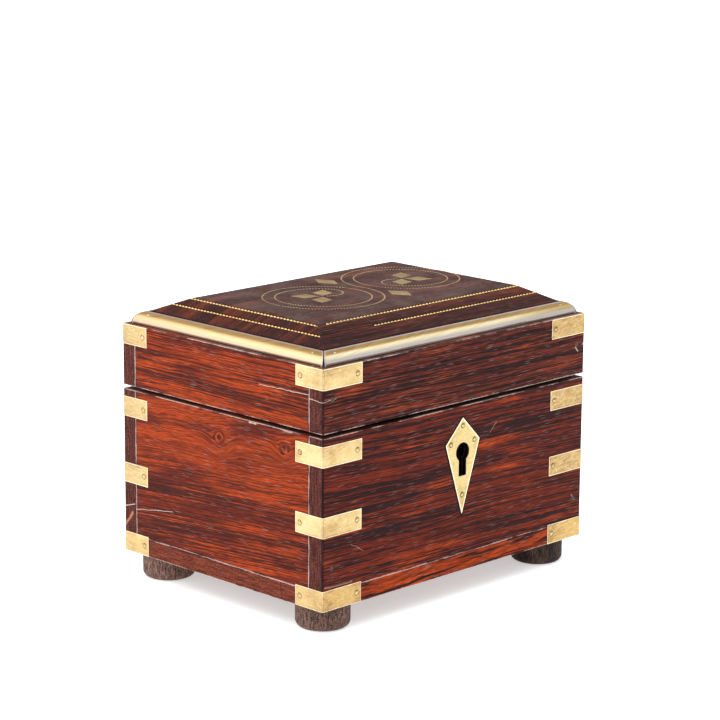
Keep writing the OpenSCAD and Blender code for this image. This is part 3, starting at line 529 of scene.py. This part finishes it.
FLOOR_HALF = 15
OVERHEAD_POWER, OVERHEAD_ANGLE = 1.6, math.radians(70)
SOFTBOX_POWER, SOFTBOX_SIZE = 1.1, 0.5
SOFTBOX_PLACE, SOFTBOX_AIM = (-0.52, 0.30, 0.36), (-0.12, 0.04, 0.04)
SKY_GAIN, HORIZON = 0.70, 0.42


def make_studio():
    """White light that is stronger from above, a soft sun, a softbox on the left and a pale floor."""
    scene = bpy.context.scene
    scene.view_settings.view_transform = "Standard"
    world = bpy.data.worlds.new("studio")
    world.use_nodes = True
    tree = world.node_tree
    coord = tree.nodes.new("ShaderNodeTexCoord")
    parts = tree.nodes.new("ShaderNodeSeparateXYZ")
    tree.links.new(coord.outputs["Generated"], parts.inputs[0])
    background = tree.nodes["Background"]
    background.inputs["Color"].default_value = (1, 1, 1, 1)
    height = Num(tree, parts.outputs[2])
    feed(tree, background.inputs["Strength"], height.rise(0.0, 0.8) * SKY_GAIN + HORIZON)
    scene.world = world
    overhead = bpy.data.lights.new("overhead", "SUN")
    overhead.energy, overhead.angle = OVERHEAD_POWER, OVERHEAD_ANGLE
    softbox = bpy.data.lights.new("softbox", "AREA")
    softbox.energy, softbox.size = SOFTBOX_POWER, SOFTBOX_SIZE
    lamps = [(overhead, (0, 0, 1), (0.2, 0.0, 0.0)), (softbox, SOFTBOX_PLACE, SOFTBOX_AIM)]
    for data, place, aim in lamps:
        lamp = bpy.data.objects.new(data.name, data)
        turn = (Vector(aim) - Vector(place)).to_track_quat("-Z", "Y").to_matrix().to_4x4()
        lamp.matrix_world = Matrix.Translation(place) @ turn
        scene.collection.objects.link(lamp)

    mesh = bpy.data.meshes.new("floor")
    turns = ((-1, -1), (1, -1), (1, 1), (-1, 1))
    mesh.from_pydata([(a * FLOOR_HALF, b * FLOOR_HALF, 0) for a, b in turns], [], [(0, 1, 2, 3)])
    floor = bpy.data.objects.new("floor", mesh)
    scene.collection.objects.link(floor)
    paper = Paint("paper", Roughness=0.9, **{"Specular IOR Level": 0.1, "Emission Strength": 0.48})
    tooth = paper.noise(paper.x * 0.4, paper.y * 0.4, 0, 3)
    colour = paper.mix(tooth, (0.86, 0.90, 0.91), (0.88, 0.92, 0.93))
    paper.set(**{"Base Color": colour, "Emission Color": (1, 1, 1)})
    mesh.materials.append(paper.material)


# ---------------------------------------------------------------- softened edges


WELD = 0.002 * MM
SHARP = math.radians(32)  # edges sharper than this stay sharp in the shading
BEVELLED = math.radians(35)  # edges sharper than this are rounded
FLAT = math.radians(0.5)  # faces that meet at less than this are joined
WOOD_ROUND, BRASS_ROUND, MOULDING_ROUND = 0.5, 0.2, 0.25


def node_group(name, build):
    """A geometry node group with one geometry in and one out."""
    tree = bpy.data.node_groups.new(name, "GeometryNodeTree")
    tree.interface.new_socket("Geometry", in_out="INPUT", socket_type="NodeSocketGeometry")
    tree.interface.new_socket("Geometry", in_out="OUTPUT", socket_type="NodeSocketGeometry")
    start, end = tree.nodes.new("NodeGroupInput"), tree.nodes.new("NodeGroupOutput")
    tree.links.new(build(tree, start.outputs[0]), end.inputs[0])
    return tree


def joined(tree, geometry):
    """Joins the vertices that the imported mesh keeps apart, and drops its stored normals."""
    weld = tree.nodes.new("GeometryNodeMergeByDistance")
    weld.inputs["Distance"].default_value = WELD
    tree.links.new(geometry, weld.inputs["Geometry"])
    drop = tree.nodes.new("GeometryNodeRemoveAttribute")
    drop.inputs["Name"].default_value = "custom_normal"
    tree.links.new(weld.outputs["Geometry"], drop.inputs["Geometry"])
    return drop.outputs["Geometry"]


def smoothed(tree, geometry):
    """Smooth shading, apart from the edges that stay sharp."""
    faces = tree.nodes.new("GeometryNodeSetShadeSmooth")
    tree.links.new(geometry, faces.inputs[0])
    edges = tree.nodes.new("GeometryNodeSetShadeSmooth")
    edges.domain = "EDGE"
    angle = tree.nodes.new("GeometryNodeInputMeshEdgeAngle")
    sharp = tree.nodes.new("FunctionNodeCompare")
    sharp.inputs["B"].default_value = SHARP
    tree.links.new(angle.outputs["Unsigned Angle"], sharp.inputs["A"])
    tree.links.new(faces.outputs[0], edges.inputs[0])
    tree.links.new(sharp.outputs[0], edges.inputs["Selection"])
    edges.inputs["Shade Smooth"].default_value = False
    return edges.outputs[0]


JOIN = node_group("join", joined)
SMOOTH = node_group("smooth_by_angle", smoothed)


def soften(node, width, segments=3):
    """Rounds the sharp edges of a CAD node with modifiers alone."""
    obj = NODES[node]
    obj.modifiers.new("join", "NODES").node_group = JOIN
    flat = obj.modifiers.new("flat_faces", "DECIMATE")
    flat.decimate_type = "DISSOLVE"
    flat.angle_limit = FLAT
    bevel = obj.modifiers.new("worn_edges", "BEVEL")
    bevel.width, bevel.segments = width * MM, segments
    bevel.limit_method = "ANGLE"
    bevel.angle_limit = BEVELLED
    bevel.miter_outer = "MITER_ARC"
    obj.modifiers.new("smooth", "NODES").node_group = SMOOTH
    normals = obj.modifiers.new("flat_normals", "WEIGHTED_NORMAL")
    normals.weight, normals.keep_sharp = 100, True


def dress(node, material):
    """Gives a CAD node its material."""
    for slot in NODES[node].material_slots:
        slot.material = material


# ---------------------------------------------------------------- pieces made here


def add_piece(name, vertices, faces, material, body, slot, replaced):
    """A mesh piece in millimetres that rides on a body and stands for a CAD node."""
    mesh = bpy.data.meshes.new(name)
    mesh.from_pydata((np.asarray(vertices) * MM).tolist(), [], faces)
    mesh.polygons.foreach_set("use_smooth", [True] * len(mesh.polygons))
    mesh.materials.append(material)
    mesh.update()
    obj = bpy.data.objects.new(name, mesh)
    bpy.context.scene.collection.objects.link(obj)
    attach(obj, body)
    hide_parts(replaced)
    return obj


WIRE_R = 0.65
GROOVE_HALF = 0.7
GROOVE_DEPTH = 0.85
FILLED_DEPTH = 0.12  # of the groove where its wire is lost
LOST_WIRE = {"border_wire_lower": 0.235, "border_wire_upper": 0.04}  # parts of the front side, from its left
FLAT_INSET = np.array((24.6, 30.0))  # from the box's faces to the flat of the lid
PANEL_STEP = 0.8  # between the places of the panel's grid
WALL_STEP = 0.02  # from a groove's wall to the places on both sides of it
WALL_CLEAR = 0.25  # from a groove's wall to the next place of the grid
HIP_ROUND, RIDGE_ROUND = 0.9, 1.6  # of the ridges between bevels, and of those round the flat
BRIM_DROP, BRIM_WIDTH = 0.5, 0.8  # of the rounding at the panel's outer edge
PLUG_ROOM = 0.3  # from the panel's outer edge in to the plug below it


def border_line(node):
    """Half sizes and height of one border line's middle."""
    low, high = corners(node)
    return np.array((high.x - WIRE_R, high.y - WIRE_R)), (low.z + high.z) / 2


def soft_least(a, b, reach):
    """The lesser of two heights, with the ridge between them rounded over."""
    blend = np.clip(0.5 + 0.5 * (b - a) / reach, 0, 1)
    return b * (1 - blend) + a * blend - reach * blend * (1 - blend)


def grid_lines(half, lines):
    """Evenly spaced places from -half to half, with a pair of places at each wall of each groove."""
    places = list(np.linspace(-half, half, int(2 * half / PANEL_STEP)))
    walls = [s * (line + t * GROOVE_HALF) for line in lines for s in (-1, 1) for t in (-1, 1)]
    places = [p for p in places if min(abs(p - w) for w in walls) > WALL_CLEAR]
    return np.array(sorted(places + [w + d for w in walls for d in (-WALL_STEP, WALL_STEP)]))


def panel_height(x, y, half, band, top, lines):
    """Height of the bevelled panel at a place."""
    rise = top - band
    run = half - (np.array(BOX_HALF.xy) - FLAT_INSET)
    slope_x = band + (half[0] - abs(x)) * rise / run[0]
    slope_y = band + (half[1] - abs(y)) * rise / run[1]
    z = soft_least(soft_least(slope_x, slope_y, HIP_ROUND), top, RIDGE_ROUND)
    out = np.minimum(half[0] - abs(x), half[1] - abs(y))
    z -= BRIM_DROP * np.clip(1 - out / BRIM_WIDTH, 0, 1) ** 2
    for line, lost in lines:
        far = np.maximum(abs(x) - line[0], abs(y) - line[1])
        filled = (abs(y + line[1]) < GROOVE_HALF) & (x < line[0] * (2 * lost - 1))
        z -= np.where(abs(far) < GROOVE_HALF, np.where(filled, FILLED_DEPTH, GROOVE_DEPTH), 0)
    return z


def make_panel():
    """The lid's bevelled panel, with rounded ridges and the grooves for its border wires."""
    low, high = corners("lid_top_panel")
    half = np.array((high.x, high.y))
    band = corners("moulding_front")[1].z
    seat = corners("lid_front_board")[1].z
    lines = [(border_line(node)[0], lost) for node, lost in LOST_WIRE.items()]
    xs = grid_lines(half[0], [line[0] for line, lost in lines])
    ys = grid_lines(half[1], [line[1] for line, lost in lines])
    nx, ny = len(xs), len(ys)
    gx, gy = np.meshgrid(xs, ys, indexing="ij")
    gz = panel_height(gx, gy, half, band, high.z, lines)
    vertices = np.stack((gx, gy, gz), -1).reshape(-1, 3).tolist()
    faces = [
        (i * ny + j, (i + 1) * ny + j, (i + 1) * ny + j + 1, i * ny + j + 1)
        for i in range(nx - 1)
        for j in range(ny - 1)
    ]
    ring = [i * ny for i in range(nx)] + [(nx - 1) * ny + j for j in range(1, ny)]
    ring += [i * ny + ny - 1 for i in range(nx - 2, -1, -1)] + [j for j in range(ny - 2, 0, -1)]
    inner = half - PLUG_ROOM
    above = ring
    for level, reach in ((seat, half), (seat, inner), (low.z, inner)):
        start = len(vertices)
        for k in ring:
            x, y = vertices[k][:2]
            vertices.append((x * reach[0] / half[0], y * reach[1] / half[1], level))
        below = list(range(start, len(vertices)))
        for k in range(len(below)):
            after = (k + 1) % len(below)
            faces.append((above[k], below[k], below[after], above[after]))
        above = below
    faces.append(tuple(reversed(above)))
    wood = rosewood(
        "lid_top_panel", "xyz", 41.0, bright=0.42, black=0.45, wild=0.6, close=1.5, palette=TOP_PALETTE,
        cut=TOP_END_GRAIN, pores=0.3, dust=0.26, polish=0.9, hollow=False,
    )
    obj = add_piece("bevelled_panel", vertices, faces, wood, "lid", "top_wood", "lid_top_panel")
    obj.modifiers.new("smooth", "NODES").node_group = SMOOTH


RINGS_TO_A_BEAD = 10
BEAD_SLANT = 0.3


def beaded(points, radius, flat, pitch, waist, sides=8):
    """A twisted wire along a path, worn to slanting beads: vertices and faces.

    flat is its height over its width, pitch the length of a bead, and waist the least part of its radius
    that is left between two beads.
    """
    points = np.asarray(points, float)
    run = np.concatenate(([0], np.cumsum(np.linalg.norm(np.diff(points, axis=0), axis=1))))
    count = max(int(run[-1] / pitch * RINGS_TO_A_BEAD), 2)
    at = np.linspace(0, run[-1], count)
    path = np.stack([np.interp(at, run, points[:, k]) for k in range(3)], -1)
    ahead = np.gradient(path, axis=0)
    ahead /= np.linalg.norm(ahead, axis=1)[:, None]
    side = np.cross(ahead, (0, 0, 1))
    swell = radius * np.maximum(abs(np.sin(math.pi * at / pitch)), waist)
    rings = []
    for k in range(sides):
        angle = 2 * math.pi * k / sides
        out, up = math.cos(angle), math.sin(angle) * flat
        rings.append(path + swell[:, None] * (side * out + ahead * out * BEAD_SLANT + np.array((0, 0, up))))
    vertices = np.stack(rings, 1).reshape(-1, 3).tolist()
    faces = [tuple(reversed(range(sides))), tuple((count - 1) * sides + k for k in range(sides))]
    for i in range(count - 1):
        for k in range(sides):
            a, b = i * sides + k, i * sides + (k + 1) % sides
            faces.append((a, b, b + sides, a + sides))
    return vertices, faces


def gather(parts):
    """Joins several meshes, given as vertices and faces, into one."""
    vertices, faces = [], []
    for some, shape in parts:
        first = len(vertices)
        vertices += list(some)
        faces += [tuple(first + k for k in face) for face in shape]
    return vertices, faces


BEAD = 2.45
WIRE_FLAT = 0.9
WIRE_SUNK = 0.36  # from the middle of the CAD wire down to the middle of this one
FAR_SUNK = 0.3  # how much deeper the right and back sides lie
LONG_WAIST, SHORT_WAIST = 0.06, 0.3


def make_border(name, node, seed):
    """A rectangle of twisted wire in its groove, with the left end of its front side lost."""
    half, level = border_line(node)
    level -= WIRE_SUNK
    hx, hy = half
    ends = [(-hx, -hy), (hx, -hy), (hx, hy), (-hx, hy), (-hx, -hy)]
    parts = []
    for side, (a, b) in enumerate(zip(ends, ends[1:])):
        start = LOST_WIRE[node] if side == 0 else 0
        height = level - FAR_SUNK if side in (1, 2) else level
        line = [(a[0] + (b[0] - a[0]) * t, a[1] + (b[1] - a[1]) * t, height) for t in (start, 1)]
        parts.append(beaded(line, WIRE_R, WIRE_FLAT, BEAD, LONG_WAIST if side in (0, 2) else SHORT_WAIST))
    metal = brass(name, seed, tarnish=0.2, rough=0.3, tints=WIRE_TINTS)
    add_piece(name, *gather(parts), metal, "lid", "wire_brass", node)


SCROLL_R, SCROLL_PITCH, CURL_R = 33.2, 6.7, 9.6
CURL_START, CURL_END = math.radians(25), math.radians(-133)
SCROLL_TURN = math.radians(4.6)
SCROLL_WIRE_R, SCROLL_FLAT, SCROLL_BEAD, SCROLL_WAIST, SCROLL_SIDES = 0.68, 0.14, 1.7, 0.45, 6
INLAY_PROUD = 0.05  # of the CAD line above the flat of the lid
SCROLL_SUNK = 0.05  # from that flat down to the middle of the wire
ARC_POINTS = 90


def make_scroll():
    """The double spiral of twisted wire, filed nearly flush with the flat of the lid."""
    low, high = corners("scroll_line")
    middle, level = (low + high) / 2, high.z - INLAY_PROUD
    step = SCROLL_PITCH / 2
    last = SCROLL_R - 3 * step
    reach = last - CURL_R
    arcs = []
    for k in range(4):
        odd = k % 2
        begin = CURL_START if k == 3 else 0.0
        arcs.append((-SCROLL_R - odd * step, 0.0, SCROLL_R - k * step, begin, math.pi if odd else -math.pi))
    curl_x, curl_y = -SCROLL_R - step + reach * math.cos(CURL_START), reach * math.sin(CURL_START)
    arcs.append((curl_x, curl_y, CURL_R, CURL_START, CURL_END))
    parts = []
    for half_turn in (0, math.pi):
        c, s = math.cos(SCROLL_TURN + half_turn), math.sin(SCROLL_TURN + half_turn)
        for cx, cy, r, begin, stop in arcs:
            angles = np.linspace(begin, stop, ARC_POINTS)
            x, y = cx + r * np.cos(angles), cy + r * np.sin(angles)
            height = np.full(ARC_POINTS, level - SCROLL_SUNK)
            line = np.stack((middle.x + c * x - s * y, middle.y + s * x + c * y, height), -1)
            parts.append(beaded(line, SCROLL_WIRE_R, SCROLL_FLAT, SCROLL_BEAD, SCROLL_WAIST, SCROLL_SIDES))
    metal = brass("scroll", 77.0, tarnish=0.8, rough=0.42, tints=SCROLL_TINTS)
    add_piece("scroll_wire", *gather(parts), metal, "lid", "inlay_brass", "scroll_line")


# ---------------------------------------------------------------- marks and places

# Side, start, stop, width, raggedness and colour of each mark on a board
LEFT_MARKS = (
    ("left", (68.5, 38.5), (37.3, 43.2), 0.24, 1.1, WORN_AND_HIGHLIGHT),
    ("left", (-22.8, 103.5), (-27.5, 103.0), 0.7, 2.5, (0.50, 0.40, 0.34)),
    ("left", (-46, 103.8), (-54, 103.5), 0.45, 1.5, (0.40, 0.30, 0.25)),
)
BACK_MARKS = (
    ("left", (76.3, 38.7), (67.9, 41.3), 0.35, 1.1, WORN_AND_HIGHLIGHT),
    ("left", (75.4, 29.0), (69.8, 36.0), 0.9, 2.5, (0.45, 0.18, 0.09)),
)
FRONT_MARKS = (
    ("front", (-80, 46), (-71, 41), 0.18, 2.5, (0.30, 0.20, 0.17)),
    ("front", (24, 86), (29, 91), 0.18, 1.1, (0.35, 0.25, 0.22)),
    ("front", (-98.5, 26.5), (-79, 25.8), 0.5, 1.5, (0.26, 0.16, 0.12)),
    ("front", (92, 38.5), (95, 35.0), 0.5, 1.5, (0.22, 0.15, 0.12)),
)
# The pale lines along the lid's top edges are partly wear and partly painted highlight
LID_FRONT_MARKS = (
    ("left", (-66.5, 123.6), (-76.4, 122.8), 0.26, 1.5, WORN_AND_HIGHLIGHT),
    ("front", (-100, 122.9), (-91, 123.8), 0.2, 1.1, WORN_AND_HIGHLIGHT),
    ("front", (92.5, 121.6), (94.6, 119.2), 0.55, 1.5, (0.46, 0.38, 0.34)),
    ("front", (98.2, 122.5), (99.6, 123.5), 0.5, 1.5, (0.40, 0.32, 0.28)),
)
LID_LEFT_MARKS = (("left", (-29.9, 124.4), (-65.8, 125.3), 0.24, 1.1, WORN_AND_HIGHLIGHT),)
BOTTOM_MARKS = (("left", (-47, 14.5), (-46, 23), 0.3, 1.1, DEEP),)

# The escutcheon: how far its widest line lies below its top, how far the keyhole reaches below that line,
# the pins from the line's middle, and the width of the painted shadow line in the wood along each side
KITE_UP, KEYHOLE_DROP = 13.3, 18.0
KITE_PINS = ((0, 9), (-9, 0), (9, 0), (0, -28.6))
KITE_SHADOW_WIDTHS = (1.1, 1.1, 1.6, 1.3)


def kite_centre():
    """Middle of the escutcheon's widest line: its place along the front and its height."""
    low, high = corners("escutcheon")
    return (low.x + high.x) / 2, high.z - KITE_UP


def kite_sides():
    """The escutcheon's four sides, from its top round by the right, each as its two ends."""
    low, high = corners("escutcheon")
    x, z = kite_centre()
    tips = [(x, high.z), (high.x, z), (x, low.z), (low.x, z)]
    return list(zip(tips, tips[1:] + tips[:1]))


def strap_pin_places(node):
    """Where a corner strap's two pins show: the axis, the place along it and the height of each."""
    low, high = corners(node)
    ends = [min(a, b, key=abs) for a, b in zip(low, high)]
    height = (low.z + high.z) / 2
    return [(axis, end + math.copysign(STRAP_PIN_INSET, end), height) for axis, end in zip("xy", ends)]


# ---------------------------------------------------------------- looks of the CAD nodes

STRAP_PIN_INSET = 3.2  # from the end of a strap's arm to its pin
FIRST_SEED, SEED_STEP = 60.0, 1.7

# Dust and depth of each foot, where depth is painted shade; the two on the right are painted darker, as they
# stand in the shade
FOOT_LOOKS = {
    "foot_front_left": (0.75, 0.20),
    "foot_back_left": (0.75, -0.06),
    "foot_front_right": (0.15, 0.80),
    "foot_back_right": (0.15, 0.80),
}


def boards():
    """The look of each board of the body and of the lid's frame."""
    x, z = kite_centre()
    # painted shadow round the escutcheon, as though it stood proud of the wood
    kite_shadows = tuple(("front", *side, gap, 0.0, DEEP) for side, gap in zip(kite_sides(), KITE_SHADOW_WIDTHS))
    return {
        "front_board": dict(
            axes="xzy", seed=3.0, bright=0.36, black=0.64, close=1.25, wild=0.7, slope=0.02, pores=0.42,
            marks=FRONT_MARKS + kite_shadows, hole=((x, z), (x, z - KEYHOLE_DROP)),
        ),
        "back_board": dict(axes="xzy", seed=11.0, bright=0.42, black=0.55, marks=BACK_MARKS),
        "left_end_board": dict(
            axes="yzx", seed=5.0, bright=0.46, black=0.62, close=1.5, wild=0.6, slope=0.07, pores=0.45,
            knots=((0.4, 91.2, 7.0), (-48.6, 94.5, 6.0)), flame=(55, 85), palette=END_PALETTE,
            marks=LEFT_MARKS,
        ),
        "right_end_board": dict(
            axes="yzx", seed=17.0, bright=0.52, black=0.5, knots=((20, 60, 6),), palette=END_PALETTE,
        ),
        "bottom_board": dict(
            axes="xyz", seed=23.0, bright=0.53, black=0.30, polish=0.6, cut=BOTTOM_END_GRAIN,
            marks=BOTTOM_MARKS,
        ),
        "lid_front_board": dict(
            axes="xzy", seed=29.0, bright=0.38, black=0.64, close=1.35, wild=0.6, pores=0.5,
            palette=LID_FRONT_PALETTE, marks=LID_FRONT_MARKS,
        ),
        "lid_back_board": dict(axes="xzy", seed=31.0, bright=0.42, black=0.55),
        "lid_left_end": dict(
            axes="yzx", seed=35.0, bright=0.54, black=0.56, close=1.4, wild=0.7, palette=END_PALETTE,
            marks=LID_LEFT_MARKS,
        ),
        "lid_right_end": dict(axes="yzx", seed=37.0, bright=0.5, black=0.5, palette=END_PALETTE),
    }


def dress_strap(node, seed):
    """A corner strap: browner on the sides away from the light and at the bottom of the box."""
    tints = STRAP_TINTS
    if "right" in node or "back" in node:
        tints = SHADED_STRAP_TINTS
    if "bottom" in node:
        tints = BOTTOM_STRAP_TINTS
    tarnish = 0.9 if "lid_front_left" in node else 0.6
    soften(node, BRASS_ROUND, 2)
    dress(node, brass(node, seed, node, tarnish, tints=tints, pins=strap_pin_places(node)))


def dress_moulding(node, seed):
    """One length of the moulding."""
    look = SHORT_MOULDING if node in ("moulding_left", "moulding_right") else LONG_MOULDING
    soften(node, MOULDING_ROUND, 2)
    dress(node, moulding_brass(node, seed, *look))


def dress_foot(node, seed):
    """One turned foot."""
    soften(node, WOOD_ROUND)
    dress(node, foot_wood(node, seed, *FOOT_LOOKS[node]))


def dress_escutcheon():
    """The kite-shaped plate, with a rim worn bright that also carries a painted highlight, and dark lines
    round its pins.
    """
    x, z = kite_centre()
    pins = [("x", x + a, z + b) for a, b in KITE_PINS]
    metal = brass(
        "escutcheon", 90.0, tarnish=0.45, rough=0.3, tints=KITE_TINTS, pins=pins, outline=kite_sides(),
    )
    soften("escutcheon", BRASS_ROUND, 2)
    dress("escutcheon", metal)


def dress_small_parts():
    """Pins, nails, screws, diamonds, the lock and the hinges, each kind in one material."""
    pin_brass = brass("pins", 91.0, tarnish=0.3, rough=0.3)
    nail_brass = brass("moulding_nails", 95.0, rough=0.5, tints=NAIL_TINTS)
    inlay = brass("diamonds", 92.0, tarnish=0.8, rough=0.42, tints=DIAMOND_TINTS)
    lock_brass = lock_metal()
    hinge_brass = brass("hinges", 94.0, tarnish=0.8, rough=0.4, tints=HINGE_TINTS)
    nail_iron = iron("nails", 1.0, (0.035, 0.020, 0.016), 0.3)
    screw_steel = iron("screws", 2.0, (0.30, 0.28, 0.26), 0.9)
    leaves = [node for node in NODES if node.startswith("hinge_") and "leaf" in node]
    kinds = (
        (pin_brass, ("body_strap_pins", "lid_strap_pins", "escutcheon_pins")),
        (nail_brass, ("moulding_nails",)),
        (inlay, ("trefoil_diamonds", "lone_diamonds")),
        (lock_brass, ("lock_case", "lock_cap", "lock_bolt", "lock_staple")),
        (hinge_brass, leaves),
        (nail_iron, ("body_nails", "lid_nails")),
        (screw_steel, ("lock_screws", "staple_screws", "hinge_body_screws", "hinge_lid_screws")),
        (screw_steel, ("hinge_pins",)),
    )
    for material, nodes in kinds:
        for node in nodes:
            dress(node, material)


# ---------------------------------------------------------------- the caddy

make_camera()
make_studio()

for node, look in boards().items():
    soften(node, WOOD_ROUND)
    dress(node, rosewood(node, **look))

make_panel()
make_border("lower_border_wire", "border_wire_lower", 51.0)
make_border("upper_border_wire", "border_wire_upper", 53.0)
make_scroll()

REPEATED = {"strap_": dress_strap, "moulding_": dress_moulding, "foot_": dress_foot}
seed = FIRST_SEED
for node in NODES:
    for start, dress_one in REPEATED.items():
        if node.startswith(start) and node != "moulding_nails":
            dress_one(node, seed)
            seed += SEED_STEP

dress_escutcheon()
dress_small_parts()
